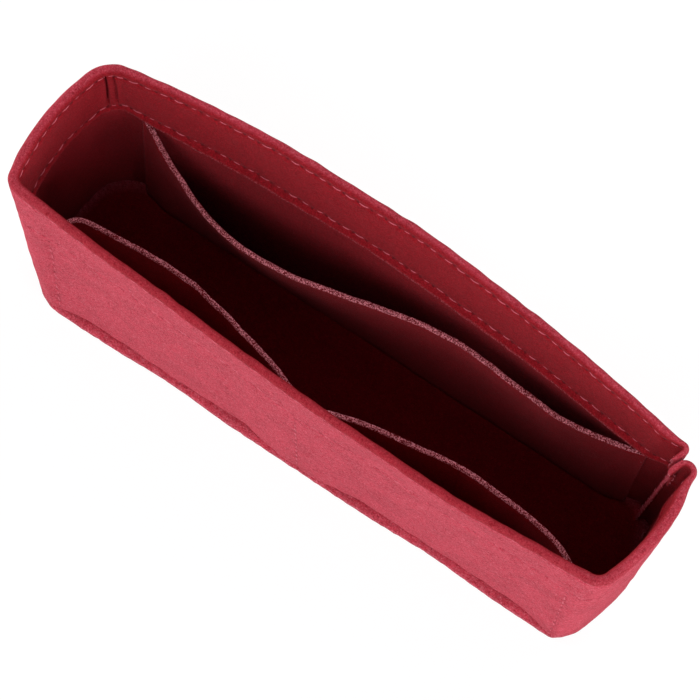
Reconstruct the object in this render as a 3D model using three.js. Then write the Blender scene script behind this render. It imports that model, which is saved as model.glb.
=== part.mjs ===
// Felt purse organizer insert: an open-topped felt box with two pockets at the front and one at the back.
// Millimetres, +Z up. The front wall faces -Y, the long walls run along X, and the box stands on z = 0.
import * as THREE from "three";

// Box, measured outside, between the corners.
const LENGTH = 220;
const END_WIDTH = 53.5;
const HEIGHT = 88.5;
const CORNER_RADIUS = 9;
// How far each wall leans outwards from its foot to the rim.
const END_LEAN = 1.5;
const SIDE_LEAN = 1.25;
// How far the base sticks out past the front and back walls.
const BASE_LEDGE = 2.4;
// How far each wall bows outwards at the middle of the rim.
const FRONT_BOW = 3.5;
const BACK_BOW = 10;
const END_BOW = 3.8;

// Felt, and the hem that is folded inwards at the rim. The rows of stitches are measured down from the rim.
const FELT = 2;
const HEM_DEPTH = 26.5;
const HEM_UPPER_ROW = 3.5;
const HEM_LOWER_ROW = 23;

// Closing seam at the back right corner, where both ends of the wall sheet turn into the box.
const SEAM_ALLOWANCE = 6;
const SEAM_GAP = 0.6;
const TURN_SLACK = 0.4;

// Pockets: how far in from the ends of the box they are sewn, how far their mouths gape, and how far in from
// a side seam they gape most. The back pocket does so from its left seam.
const FRONT_SEAM_INSET = 11;
const FRONT_GAPE = 15.2;
const FRONT_GAPE_REACH = 48;
const BACK_SEAM_INSET = 15;
const BACK_GAPE = 20.8;
const BACK_GAPE_REACH = 55;
// The back pocket's right end runs close to its wall: its slack there, and the lengths it takes to settle.
const BACK_SLACK = 7.4;
const BACK_SETTLE = 80;
const BACK_TAPER = 36;
// How each stretch of a mouth leaves its seam: a power below 1 stands off the wall at once, above 1 eases away.
const SIDE_RISE_POWER = 0.5;
const MIDDLE_RISE_POWER = 0.65;
const BACK_RISE_POWER = 1;
const SETTLE_RISE_POWER = 2;
// A pocket lies flat this far on both sides of a seam, and its cut edge is this far past a side seam.
const SEAM_LAND = 2;
const POCKET_EDGE = 2;
// Length of sheet that stays with the wall beside each seam. The mouth between the margins flexes.
const FRONT_MARGIN = 8;
const MIDDLE_MARGIN = 11;
const BACK_MARGIN = 16;
// Drop from the hem's cut edge to the mouths, so that a closing mouth passes under the hem.
const MOUTH_DROP = 0.8;

const THREAD = 0.6;
// Gap between two pieces that touch, and between a mouth and its margins.
const CLEARANCE = 0.3;

// Number of steps round each stretch of the outline.
const TURN_STEPS = 7;
const CORNER_STEPS = 5;
const LONG_STEPS = 20;
const END_STEPS = 4;
const FOLD_STEPS = 6;
const WALL_LEVELS = 5;
const POCKET_LEVELS = 4;
const MARGIN_STEPS = 5;
const MIDDLE_STEPS = 10;
const MOUTH_STEPS = 22;
// Power that keeps the bow of an end wall to the end of the box.
const END_BOW_POWER = 8;

const felt = new THREE.MeshStandardMaterial({ color: 0xa42a3d, roughness: 0.95, metalness: 0 });
const thread = new THREE.MeshStandardMaterial({ color: 0xc25a6b, roughness: 0.8, metalness: 0 });

const organizer = new THREE.Group();

function addPiece(name, geometry, material) {
  const mesh = new THREE.Mesh(geometry, material);
  mesh.name = name;
  organizer.add(mesh);
}

function evenly(from, to, steps) {
  return Array.from({ length: steps + 1 }, (_, k) => from + ((to - from) * k) / steps);
}

function arc(x, y, radius, from, to, steps) {
  return evenly(from, to, steps).map((degrees) => {
    const angle = THREE.MathUtils.degToRad(degrees);
    return new THREE.Vector2(x + radius * Math.cos(angle), y + radius * Math.sin(angle));
  });
}

// Points strictly between two others.
function between(start, end, steps) {
  return evenly(0, 1, steps)
    .slice(1, -1)
    .map((share) => start.clone().lerp(end, share));
}

// A strip of felt or thread is a plan line at every height. Its place() moves a station's point at height z
// sideways into the box by inset, with mitred corners, so that the strip keeps its thickness round them.
// Where endCut is given, the strip's two ends are cut along it.
function strip(count, plan, endCut) {
  const leftOf = (i, k, z) => {
    const along = plan(k, z).sub(plan(i, z)).normalize();
    return new THREE.Vector2(-along.y, along.x);
  };
  const place = (i, inset, z) => {
    const behind = leftOf(Math.max(i - 1, 0), Math.max(i, 1), z);
    const ahead = leftOf(Math.min(i, count - 2), Math.min(i + 1, count - 1), z);
    const atEnd = i === 0 || i === count - 1;
    const mitre = atEnd && endCut ? endCut : behind.clone().add(ahead).normalize();
    const point = plan(i, z).addScaledVector(mitre, inset / mitre.dot(behind));
    return [point.x, point.y, z];
  };
  return { count, place };
}

// A closed solid: a section, as a loop of [inset, z] pairs, carried along a strip between two stations.
function sweep({ count, place }, section, first = 0, last = count - 1) {
  const size = section.length;
  const positions = [];
  const index = [];
  for (let i = first; i <= last; i++) {
    for (const [inset, z] of section) positions.push(...place(i, inset, z));
  }
  const rings = last - first;
  for (let ring = 0; ring < rings; ring++) {
    for (let k = 0; k < size; k++) {
      const a = ring * size + k;
      const b = ring * size + ((k + 1) % size);
      index.push(a, a + size, b + size, a, b + size, b);
    }
  }
  const contour = section.map(([inset, z]) => new THREE.Vector2(inset, z));
  for (const [a, b, c] of THREE.ShapeUtils.triangulateShape(contour, [])) {
    const end = rings * size;
    index.push(a, c, b, end + a, end + b, end + c);
  }
  const geometry = new THREE.BufferGeometry();
  geometry.setAttribute("position", new THREE.Float32BufferAttribute(positions, 3));
  geometry.setIndex(index);
  geometry.computeVertexNormals();
  return geometry;
}

// A flat band between two insets, as a section that follows the wall through several heights.
function band(inner, outer, heights) {
  return [...heights.map((z) => [outer, z]), ...heights.toReversed().map((z) => [inner, z])];
}

// Wall sheet: its outer face in plan, anticlockwise from the closing seam.
const turnRadius = 2 * FELT + TURN_SLACK;
const turnInset = turnRadius * (1 + Math.SQRT2) + SEAM_GAP / Math.SQRT2;
const closingSeam = SEAM_ALLOWANCE / 2;
const seamStops = [closingSeam - THREAD / 2, closingSeam + THREAD / 2, SEAM_ALLOWANCE];
const footLength = LENGTH - 2 * END_LEAN;
const footWidth = END_WIDTH - 2 * SIDE_LEAN;

// A box bows more the nearer a point is to the middle of its wall.
function bow(point, halfLength, halfWidth, share) {
  const x = point.x / halfLength;
  const y = point.y / halfWidth;
  const side = y > 0 ? BACK_BOW : FRONT_BOW;
  const endPull = Math.abs(x) ** END_BOW_POWER * Math.max(1 - y * y, 0);
  point.y += share * side * y * Math.max(1 - x * x, 0);
  point.x += share * END_BOW * Math.sign(x) * endPull;
  return point;
}

function outline(length, width, bowShare) {
  const halfLength = length / 2;
  const halfWidth = width / 2;
  const x = halfLength - CORNER_RADIUS;
  const y = halfWidth - CORNER_RADIUS;
  const inwards = new THREE.Vector2(-1, -1).normalize();
  const allowance = (start) => seamStops.map((distance) => start.clone().addScaledVector(inwards, distance));
  const backTurn = arc(halfLength - turnInset, halfWidth - turnRadius, turnRadius, -45, 90, TURN_STEPS);
  const endTurn = arc(halfLength - turnRadius, halfWidth - turnInset, turnRadius, 0, 135, TURN_STEPS);
  const backLeft = arc(-x, y, CORNER_RADIUS, 90, 180, CORNER_STEPS);
  const frontLeft = arc(-x, -y, CORNER_RADIUS, 180, 270, CORNER_STEPS);
  const frontRight = arc(x, -y, CORNER_RADIUS, 270, 360, CORNER_STEPS);
  const points = [
    ...allowance(backTurn[0]).toReversed(),
    ...backTurn,
    ...between(backTurn.at(-1), backLeft[0], LONG_STEPS),
    ...backLeft,
    ...between(backLeft.at(-1), frontLeft[0], END_STEPS),
    ...frontLeft,
    ...between(frontLeft.at(-1), frontRight[0], LONG_STEPS),
    ...frontRight,
    ...between(frontRight.at(-1), endTurn[0], END_STEPS),
    ...endTurn,
    ...allowance(endTurn.at(-1)),
  ];
  return points.map((point) => bow(point, halfLength, halfWidth, bowShare));
}

const rim = outline(LENGTH, END_WIDTH, 1);
const foot = outline(footLength, footWidth, 0);
const wall = strip(rim.length, (i, z) => foot[i].clone().lerp(rim[i], z / HEIGHT));

const wallFoot = FELT + CLEARANCE;
const foldStart = HEIGHT - FELT;
const hemEdge = HEIGHT - HEM_DEPTH;
const wallHeights = evenly(wallFoot, foldStart, WALL_LEVELS);
const fold = arc(FELT, foldStart, FELT, 180, 0, FOLD_STEPS).map((point) => [point.x, point.y]);
const innerHeights = evenly(hemEdge, wallFoot, WALL_LEVELS - 1);
const wallSection = [
  ...wallHeights.slice(0, -1).map((z) => [0, z]),
  ...fold,
  [2 * FELT, hemEdge],
  ...innerHeights.map((z) => [FELT, z]),
];
addPiece("wall_sheet", sweep(wall, wallSection), felt);

// Base sheet: a flat plate with rounded corners under the walls.
function roundedPlate(length, width, radius, thickness) {
  const x = length / 2 - radius;
  const y = width / 2 - radius;
  const shape = new THREE.Shape([
    ...arc(x, -y, radius, -90, 0, CORNER_STEPS),
    ...arc(x, y, radius, 0, 90, CORNER_STEPS),
    ...arc(-x, y, radius, 90, 180, CORNER_STEPS),
    ...arc(-x, -y, radius, 180, 270, CORNER_STEPS),
  ]);
  return new THREE.ExtrudeGeometry(shape, { depth: thickness, bevelEnabled: false });
}

addPiece("base_sheet", roundedPlate(footLength, footWidth + 2 * BASE_LEDGE, CORNER_RADIUS, FELT), felt);

// Threads that follow the wall: the hem's two rows, and the base seam in the crease at the wall's foot.
const firstStation = seamStops.length + TURN_STEPS;
const lastStation = rim.length - 1 - firstStation;
const outsideThread = [-CLEARANCE, -CLEARANCE - THREAD];

function addRow(name, insets, height) {
  const section = band(...insets, [height - THREAD / 2, height + THREAD / 2]);
  addPiece(name, sweep(wall, section, firstStation, lastStation), thread);
}

function insideThread(depth) {
  return [depth + CLEARANCE + THREAD, depth + CLEARANCE];
}

const baseRow = wallFoot + THREAD / 2;
addRow("hem_upper_thread_outside", outsideThread, HEIGHT - HEM_UPPER_ROW);
addRow("hem_upper_thread_inside", insideThread(2 * FELT), HEIGHT - HEM_UPPER_ROW);
addRow("hem_lower_thread_outside", outsideThread, HEIGHT - HEM_LOWER_ROW);
addRow("hem_lower_thread_inside", insideThread(2 * FELT), HEIGHT - HEM_LOWER_ROW);
addRow("base_seam_thread_outside", outsideThread, baseRow);
addRow("base_seam_thread_inside", insideThread(FELT), baseRow);

// Closing seam: one thread on each turned-in end, stepping out over the edge of the hem.
function closingSection() {
  const low = wallFoot + THREAD;
  const high = foldStart - THREAD;
  const step = hemEdge - CLEARANCE;
  const under = FELT + CLEARANCE;
  const over = 2 * FELT + CLEARANCE;
  const near = [[under, low], [under, step], [over, step], [over, high]];
  const far = [[over, high], [over, step - THREAD], [under, step - THREAD], [under, low]];
  return [...near, ...far.map(([inset, z]) => [inset + THREAD, z])];
}

addPiece("closing_seam_thread_back", sweep(wall, closingSection(), 1, 2), thread);
const lastWall = rim.length - 1;
addPiece("closing_seam_thread_end", sweep(wall, closingSection(), lastWall - 2, lastWall - 1), thread);

// Pockets: each sheet lies against its wall at the foot and stands off it by its gape at the mouth.
const FRONT = -1;
const BACK = 1;
const pocketFoot = baseRow + THREAD / 2 + CLEARANCE;
const pocketTop = hemEdge - MOUTH_DROP;
const pocketHeights = evenly(pocketFoot, pocketTop, POCKET_LEVELS);

// Distance from the middle of the box to the outside of the front or back wall.
function wallReach(side, x, z) {
  const share = z / HEIGHT;
  const halfLength = THREE.MathUtils.lerp(footLength, LENGTH, share) / 2;
  const halfWidth = THREE.MathUtils.lerp(footWidth, END_WIDTH, share) / 2;
  const fullBow = side === BACK ? BACK_BOW : FRONT_BOW;
  return halfWidth + share * fullBow * Math.max(1 - (x / halfLength) ** 2, 0);
}

// A run along one wall, in the wall sheet's own direction, at a given depth inside the wall's outer face.
// Its ends are cut square to X, so that a mouth turns past its margins.
function wallRun(side, from, to, steps, depth) {
  const stations = evenly(side === BACK ? to : from, side === BACK ? from : to, steps);
  const plan = (i, z) => {
    const x = stations[i];
    return new THREE.Vector2(x, side * (wallReach(side, x, z) - depth(x, z)));
  };
  return strip(stations.length, plan, new THREE.Vector2(0, -side));
}

// Goes from 0 at a seam to 1 at the given length, as a quarter wave raised to a power.
function rise(distance, length, power) {
  const share = THREE.MathUtils.clamp(distance / length, 0, 1);
  return Math.sin((share * Math.PI) / 2) ** power;
}

const frontSeam = LENGTH / 2 - FRONT_SEAM_INSET;
const backSeam = LENGTH / 2 - BACK_SEAM_INSET;

function frontGape(x) {
  const fromMiddle = Math.abs(x) - SEAM_LAND;
  const fromSide = frontSeam - SEAM_LAND - Math.abs(x);
  const deepest = frontSeam - FRONT_GAPE_REACH;
  if (Math.abs(x) < deepest) return FRONT_GAPE * rise(fromMiddle, deepest - SEAM_LAND, MIDDLE_RISE_POWER);
  return FRONT_GAPE * rise(fromSide, FRONT_GAPE_REACH - SEAM_LAND, SIDE_RISE_POWER);
}

function backGape(x) {
  const fromLeft = x + backSeam - SEAM_LAND;
  const fromRight = backSeam - SEAM_LAND - x;
  const deepest = BACK_GAPE_REACH - backSeam;
  if (x < deepest) return BACK_GAPE * rise(fromLeft, BACK_GAPE_REACH - SEAM_LAND, BACK_RISE_POWER);
  const settled = rise(x - deepest, BACK_SETTLE, SETTLE_RISE_POWER);
  return THREE.MathUtils.lerp(BACK_GAPE, BACK_SLACK, settled) * rise(fromRight, BACK_TAPER, BACK_RISE_POWER);
}

function addPocketPiece(name, side, gape, from, to, steps) {
  const depth = (x, z) => {
    const share = (z - pocketFoot) / (pocketTop - pocketFoot);
    return FELT + CLEARANCE + gape(x) * share;
  };
  addPiece(name, sweep(wallRun(side, from, to, steps, depth), band(FELT, 0, pocketHeights)), felt);
}

// Seam through a wall and its pocket: a thread down the outside of the wall and one down the pocket.
function addPocketSeam(name, side, x) {
  const heights = evenly(pocketFoot + THREAD, pocketTop - THREAD, POCKET_LEVELS);
  const run = wallRun(side, x - THREAD / 2, x + THREAD / 2, 1, () => 0);
  const insideDepth = 2 * FELT + CLEARANCE;
  addPiece(name + "_thread_outside", sweep(run, band(...outsideThread, heights)), thread);
  addPiece(name + "_thread_inside", sweep(run, band(...insideThread(insideDepth), heights)), thread);
}

const frontMouth = frontSeam - FRONT_MARGIN;
const frontEdge = frontSeam + POCKET_EDGE;
const middleMouth = MIDDLE_MARGIN - CLEARANCE;
const backMouth = backSeam - BACK_MARGIN;
const backEdge = backSeam + POCKET_EDGE;
const pocketPieces = [
  ["front_pocket_left_margin", FRONT, frontGape, -frontEdge, -frontMouth - CLEARANCE, MARGIN_STEPS],
  ["front_pocket_left_mouth", FRONT, frontGape, -frontMouth, -MIDDLE_MARGIN, MOUTH_STEPS],
  ["front_pocket_middle_margin", FRONT, frontGape, -middleMouth, middleMouth, MIDDLE_STEPS],
  ["front_pocket_right_mouth", FRONT, frontGape, MIDDLE_MARGIN, frontMouth, MOUTH_STEPS],
  ["front_pocket_right_margin", FRONT, frontGape, frontMouth + CLEARANCE, frontEdge, MARGIN_STEPS],
  ["back_pocket_left_margin", BACK, backGape, -backEdge, -backMouth - CLEARANCE, MARGIN_STEPS],
  ["back_pocket_mouth", BACK, backGape, -backMouth, backMouth, 2 * MOUTH_STEPS],
  ["back_pocket_right_margin", BACK, backGape, backMouth + CLEARANCE, backEdge, MARGIN_STEPS],
];
for (const piece of pocketPieces) addPocketPiece(...piece);

addPocketSeam("front_pocket_left", FRONT, -frontSeam);
addPocketSeam("front_pocket_middle", FRONT, 0);
addPocketSeam("front_pocket_right", FRONT, frontSeam);
addPocketSeam("back_pocket_left", BACK, -backSeam);
addPocketSeam("back_pocket_right", BACK, backSeam);

// The back bows more than the front, so the box is moved until its footprint's middle is at the origin.
const middle = new THREE.Box3().setFromObject(organizer).getCenter(new THREE.Vector3());
organizer.position.set(-middle.x, -middle.y, 0);

export default organizer;
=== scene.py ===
"""Dresses a felt purse organizer insert: four felt sheets, their sewn seams and a plain studio."""

import math

import bpy
import numpy as np
from bpy.props import FloatProperty, FloatVectorProperty, IntProperty, PointerProperty
from mathutils import Matrix, Vector
from mathutils.geometry import tessellate_polygon


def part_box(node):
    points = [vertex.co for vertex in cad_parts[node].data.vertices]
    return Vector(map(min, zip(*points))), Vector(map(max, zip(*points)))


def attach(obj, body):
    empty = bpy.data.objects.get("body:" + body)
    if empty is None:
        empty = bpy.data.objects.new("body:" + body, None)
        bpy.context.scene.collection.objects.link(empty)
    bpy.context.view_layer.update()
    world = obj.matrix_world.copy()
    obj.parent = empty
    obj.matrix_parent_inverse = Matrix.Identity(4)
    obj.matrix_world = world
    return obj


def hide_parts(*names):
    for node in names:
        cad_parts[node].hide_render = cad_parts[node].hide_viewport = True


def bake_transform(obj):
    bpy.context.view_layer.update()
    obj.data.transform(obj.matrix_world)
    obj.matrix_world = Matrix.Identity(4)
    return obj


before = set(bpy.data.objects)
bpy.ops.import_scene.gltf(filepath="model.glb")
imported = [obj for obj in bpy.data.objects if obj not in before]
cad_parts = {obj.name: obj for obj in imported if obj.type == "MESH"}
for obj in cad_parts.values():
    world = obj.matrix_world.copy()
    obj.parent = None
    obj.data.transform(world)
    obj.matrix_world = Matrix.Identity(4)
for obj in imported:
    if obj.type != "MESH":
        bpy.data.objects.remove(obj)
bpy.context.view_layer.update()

bl_info = {
    "name": "Felt purse organizer",
    "version": (1, 0, 0),
    "blender": (4, 5, 0),
    "location": "View3D > Sidebar > Organizer",
    "description": "Makes the felt sheets, seams and studio of a purse organizer insert",
    "category": "Object",
}

MM = 0.001
BASE_LOW, BASE_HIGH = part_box("base_sheet")
# Every size is measured from the middle of the base, which is also where the seams are measured from.
MIDDLE = (BASE_LOW + BASE_HIGH) / 2
FRONT = -1
BACK = 1
# How much lower the hem's lower row lies in the photographed box than in the solids.
LOWER_ROW_DROP = 0.9 * MM


def middle_of(node):
    """The middle of a solid, measured from the middle of the base."""
    low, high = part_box(node)
    return (low + high) / 2 - Vector((MIDDLE.x, MIDDLE.y, 0))


def length(description, default):
    """A size in metres that a user can change."""
    return FloatProperty(
        description=description, default=default, subtype="DISTANCE", unit="LENGTH", precision=5
    )


def angle(description, degrees):
    """An angle that a user can change."""
    return FloatProperty(
        description=description, default=math.radians(degrees), subtype="ANGLE", unit="ROTATION"
    )


def portion(description, default):
    """A share that a user can change."""
    return FloatProperty(description=description, default=default)


def colour(description, default):
    """A colour that a user can change."""
    return FloatVectorProperty(
        description=description, default=default, subtype="COLOR", size=3, min=0, max=1
    )


class BoxShape(bpy.types.PropertyGroup):
    """The outside of the box."""

    rim_length: length("Length of the rim between its corners", 219.9 * MM)
    rim_width: length("Width of the rim at its ends", 54 * MM)
    height: length("Height of the rim above the table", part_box("wall_sheet")[1].z)
    foot_length: length("Length of the base sheet", BASE_HIGH.x - BASE_LOW.x)
    foot_width: length("Width of the base sheet", BASE_HIGH.y - BASE_LOW.y)
    rim_back_left: length("Outer radius of the rim's back left corner", 6.2 * MM)
    rim_front_left: length("Outer radius of the rim's front left corner", 4.2 * MM)
    rim_front_right: length("Outer radius of the rim's front right corner", 5 * MM)
    foot_left: length("Outer radius of the base's left corners", 12 * MM)
    foot_right: length("Outer radius of the base's front right corner", 7.5 * MM)
    front_set: length("How far the rim's front is set back", 2.7 * MM)
    front_tilt: length("How much more it is set back at its right end", 0.6 * MM)
    front_bow: length("How far the rim bows out at the front", 4.6 * MM)
    front_skew: portion("How much more the front bows on the right than on the left", 0.45)
    back_bow: length("How far the rim bows out at the back", 11.1 * MM)
    back_skew: portion("How much more the back bows on the left than on the right", 0.1)
    end_bow: length("How far the rim bows out at each end", 4.6 * MM)
    end_slant: length("How far the rim's right end slants in at the front", 3 * MM)
    foot_bow: length("How far the base bows out at each end", 4.6 * MM)
    foot_slant: length("How far the base's right end slants in at the front", 5.1 * MM)
    foot_draw: length("How far the base's right end is drawn in at the back", 3 * MM)
    ledge: length("How far the base stands out past the sagging walls", 2.6 * MM)
    waist: length("How far the front wall is drawn in along the hem's lower row", 0.7 * MM)
    base_turn: angle("How far the soft box is twisted between rim and base", 1.27)
    base_slip: length("How far the base has slipped to the right under the rim", 1.86 * MM)


class FeltSizes(bpy.types.PropertyGroup):
    """The felt and the hem that is folded into the box."""

    thickness: length("Thickness of the felt", BASE_HIGH.z - BASE_LOW.z)
    hem_depth: length("Depth of the hem below the rim", 26.5 * MM)
    hem_gap: length("Gap between the hem and its wall", 0.15 * MM)
    fold_puff: length("How much fuller than flat felt the fold is", 0.1 * MM)
    press: portion("Share of its thickness that the felt loses in the sewn hem", 0.25)
    hem_flare: length("How far the hem's loose edge stands off its wall", 0.5 * MM)
    tuck: length("Depth of the tucks in the hem's corners", 1.7 * MM)
    back_turn: length("Outer radius of the back wall's turned-in end", 2.5 * MM)
    end_turn: length("Outer radius of the end wall's turned-in end", 3.6 * MM)
    turn_lean: angle("Lean of the turned-in ends from straight across the box", 18)
    seam_allowance: length("Length of the turned-in ends at the rim", 4.6 * MM)
    foot_allowance: length("Length of the turned-in ends at the foot", 0.8 * MM)
    squeeze: portion("Share of its thickness that the felt loses where it is turned in", 0.4)
    seam_gap: length("Gap between the two turned-in ends", 0.04 * MM)
    end_drop: length("How far the end wall's turn lies in front of the back wall's", 3.6 * MM)
    end_droop: length("How far the turned-in ends droop", 1.6 * MM)


class PocketShape(bpy.types.PropertyGroup):
    """The pockets' seams and how far their mouths gape."""

    front_seam: length(
        "Front pocket's side seams from the middle", middle_of("front_pocket_right_thread_outside").x
    )
    left_shift: length("How much nearer the middle the front's left seam is", 3.0 * MM)
    front_gape: length("Widest gape of the front pockets", 12.8 * MM)
    loose: length("How far the front's left end stands off above its last stitch", 4.5 * MM)
    front_reach: length("From a side seam to the widest gape at the front", 48 * MM)
    back_seam: length(
        "Back pocket's side seams from the middle", middle_of("back_pocket_right_thread_outside").x
    )
    back_gape: length("Widest gape of the back pocket", 22 * MM)
    back_reach: length("From the left seam to the widest gape at the back", 55 * MM)
    back_slack: length("Gape along the back pocket's right half", 8.3 * MM)
    back_settle: length("Length in which the back pocket settles to its slack", 76 * MM)
    back_taper: length("Length in which the slack closes at the right seam", 34 * MM)
    land: length("Flat strip on each side of a seam", 0.8 * MM)
    past_seam: length("Felt past a side seam", 2.5 * MM)
    top: length("Height of the pockets' cut edges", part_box("front_pocket_left_mouth")[1].z)


class StitchSizes(bpy.types.PropertyGroup):
    """The sewing thread and its rows."""

    upper_row: length("Height of the hem's upper row", middle_of("hem_upper_thread_outside").z)
    lower_row: length(
        "Height of the hem's lower row", middle_of("hem_lower_thread_outside").z - LOWER_ROW_DROP
    )
    pitch: length("From one needle hole to the next", 5.1 * MM)
    span: length("Length of thread that shows between two holes", 3.8 * MM)
    thread: length("Thickness of the thread", 0.35 * MM)
    groove: length("Half width of the groove that a row pulls into the felt", 1.2 * MM)
    depth: length("Depth of that groove", 0.4 * MM)
    seed: IntProperty(description="Seed for the small differences between stitches", default=7)


class FeltColours(bpy.types.PropertyGroup):
    """Colours of the felt and the thread."""

    # Painted shade: the felt inside the box is a darker copy of the felt's colour.
    felt: colour("Felt inside the box", (0.26, 0.007, 0.0125))
    # Painted sheen: the felt outside the box is a lighter, paler copy of the felt's colour.
    nap: colour("Felt outside the box, with its paler nap", (0.56, 0.042, 0.075))
    shade: colour("Darker fibres of the felt", (0.17, 0.005, 0.009))
    # Pale fibres outside the box: the fibres are real, their extra lightness outside is painted sheen.
    bloom: colour("Paler fibres outside the box", (0.74, 0.26, 0.32))
    # Pale fibres inside the box: a darker copy, painted shade.
    gleam: colour("Paler fibres inside the box", (0.60, 0.018, 0.035))
    edge: colour("Pale fibre ends in a cut edge", (0.80, 0.27, 0.33))
    hole: colour("Shade in a needle hole", (0.06, 0.002, 0.004))
    thread: colour("Sewing thread", (0.74, 0.145, 0.20))


class StageSettings(bpy.types.PropertyGroup):
    """Camera, floor and light."""

    azimuth: angle("Camera's turn round the box from straight in front", 28.3)
    elevation: angle("Camera's height above the horizon", 73.2)
    roll: angle("Camera's lean", 7.03)
    lens: FloatProperty(description="Focal length", default=133.9, unit="CAMERA")
    distance: length("From the camera to the point it looks at", 828.3 * MM)
    aim: FloatVectorProperty(
        description="Point that the camera looks at", default=(-0.6 * MM, 1.8 * MM, 44 * MM),
        subtype="TRANSLATION", unit="LENGTH", size=3,
    )
    ambient: FloatProperty(description="Light from all round", default=0.18, min=0)
    shadow: FloatProperty(
        description="How much of its shadow the white floor shows", default=0.16, min=0, max=1,
        subtype="FACTOR",
    )


# Shapes of the felt sheets

# How many stations the wall has along each stretch of its outline.
FIN_STEPS = 8
TURN_STEPS = 26
LONG_STEPS = 170
CORNER_STEPS = 54
END_STEPS = 38
# How many levels the wall's section has: by a row of stitches, below the rows, between them, round the fold,
# in the hem's hidden face and on the inside of the wall.
ROW_LEVELS = 10
WALL_LEVELS = 24
HEM_LEVELS = 10
FOLD_STEPS = 18
HIDDEN_LEVELS = 5
INNER_LEVELS = 16
# Close levels above the foot, in millimetres, and where the wider ones start.
FOOT_LEVELS = (0, 0.4, 0.9, 1.5, 2.3, 3.4)
WALL_START = 5 * MM
INNER_START = 1 * MM
# Half the height of the close levels by a row.
ROW_BAND = 3 * MM
# Where the hem's two faces end above its cut edge.
HEM_ROUND = 0.6 * MM
HIDDEN_ROUND = 0.5 * MM
# The rounded lower edge of the hem: inset from its face and height above the edge, in millimetres.
CUT_EDGE = ((0.05, 0.35), (0.25, 0.1), (0.6, 0), (1.0, 0.02), (1.4, 0), (1.75, 0.12))
# The rounded inner edge of the wall's foot, in the same way.
FOOT_EDGE = ((0.2, 0.3), (0.6, 0))
# Farther than any seam.
FAR = 1.0
# Lengths in which the walls beside the closing seam follow it, and swell to their full thickness.
JOINT_BLEND = 8 * MM
SQUEEZE_BLEND = 8 * MM
# Powers that shape the bows and the pockets' mouths.
END_BOW_POWER = 8
SIDE_RISE_POWER = 0.4
MIDDLE_RISE_POWER = 0.35
SETTLE_POWER = 2
# Where the right end begins to slant, as a share of half its width behind its middle.
SLANT_START = 0.37
# The ledge fades between these distances past the side seams and, in front, from the middle seam.
LEDGE_SIDE = (-14 * MM, 2 * MM)
LEDGE_MIDDLE = (4 * MM, 26 * MM)
# The front wall's waist fades between these distances from its middle.
WAIST_ENDS = (78 * MM, 106 * MM)
# Shares of the hem's press, flare and pale cut edge that are lost at the ends of the box; losing the pale
# edge there is painted shade.
END_PRESS_LOSS = 0.7
END_FLARE_LOSS = 0.8
END_CUT_SHADE = 0.7
# The turned-in ends: the share of them left below the upper row, and the height in which they are drawn back.
FIN_LEAST = 0.15
FIN_FADE = 12 * MM
# How much they thin towards their tips, where that starts, and how much of their lumps the squeeze takes.
FIN_THINNING = 0.55
FIN_THIN_START = 0.7
SQUEEZE_CALM = 0.7
# How plainly their tips show as cut, and the height in which that fades below the upper row.
FIN_CUT = 0.5
FIN_CUT_FADE = 4 * MM
# A pocket seam's groove: its half width, and the heights in which it fades at the foot and over the pocket.
SEAM_GROOVE = 1.3 * MM
SEAM_FOOT = 2 * MM
SEAM_HEAD = 3 * MM
# How far over the pocket the seam's needle holes may show.
SEAM_SHOWN = 4 * MM
# The crease along the foot of the wall: depth and half height.
FOOT_CREASE = 0.8 * MM
CREASE_REACH = 1.3 * MM
# Tucks beside the middle of an inside corner: turn and half width in degrees, and depth.
TUCKS = ((11, 2.6, 1.3), (-11, 3.0, 0.7))
# How tucks wander on their way down: swing in degrees, and height over which the wave turns by one radian.
TUCK_WANDERS = ((0.8, 2.6 * MM), (0.6, 1.1 * MM))
# The strip between two tucks: the turns between which it fades, and its depth.
TUCK_STRIP = (8, 14)
STRIP_DEPTH = 0.2
# How far below the lower row the tucks start, and the height in which they deepen.
TUCK_DROP = 1 * MM
TUCK_FADE = 6 * MM
# Share of painted sheen on the rim over the upper row, and how much less the front has; the rest is painted
# shade.
RIM_SHEEN = 0.6
FRONT_SHEEN_LOSS = 0.35
# Thicknesses of felt across the fold between which the painted sheen fades to painted shade.
SHEEN_FADE = (1.3, 2.0)
# How plainly the hem's cut edge shows.
HEM_CUT = 0.27
# Unevenness of the felt: height, size and seed of each kind of lumps.
RIM_WAVES = ((0.28 * MM, 46 * MM, 3),)
RAGGED_FINS = ((0.6 * MM, 5 * MM, 4),)
HEM_WAVES = ((0.4 * MM, 30 * MM, 5), (0.2 * MM, 5 * MM, 6))
WALL_LUMPS = ((0.10 * MM, 7 * MM, 11), (0.16 * MM, 38 * MM, 12))
POCKET_LUMPS = ((0.10 * MM, 8 * MM, 21), (0.15 * MM, 34 * MM, 22))
POCKET_FRAY = ((0.16 * MM, 1.7 * MM, 23), (0.25 * MM, 25 * MM, 24))
BASE_LUMPS = ((0.08 * MM, 3 * MM, 31),)
# Thickness of a pocket's felt as a share of the wall's, and how plainly its ends show as cut.
POCKET_SHARE = 0.88
END_CUT = 0.2
# A pocket's gaps to the base and to its wall.
FOOT_GAP = 0.15 * MM
WALL_GAP = 0.05 * MM
# The distance between stations along a pocket, its levels, and where its faces end below its cut edge.
STATION = 0.6 * MM
POCKET_LEVELS = 18
CROWN_DROP = 0.5 * MM
# The front pocket's loose left end: its width, and the share of the height where it begins to stand off.
LOOSE_WIDTH = 14 * MM
LOOSE_START = 0.7
# The rounded top edge of a pocket: share of half its thickness, and height above the edge in millimetres.
POCKET_CROWN = ((-0.96, -0.28), (-0.8, -0.08), (-0.45, 0), (0, 0.03), (0.45, 0), (0.8, -0.08), (0.96, -0.28))
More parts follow.
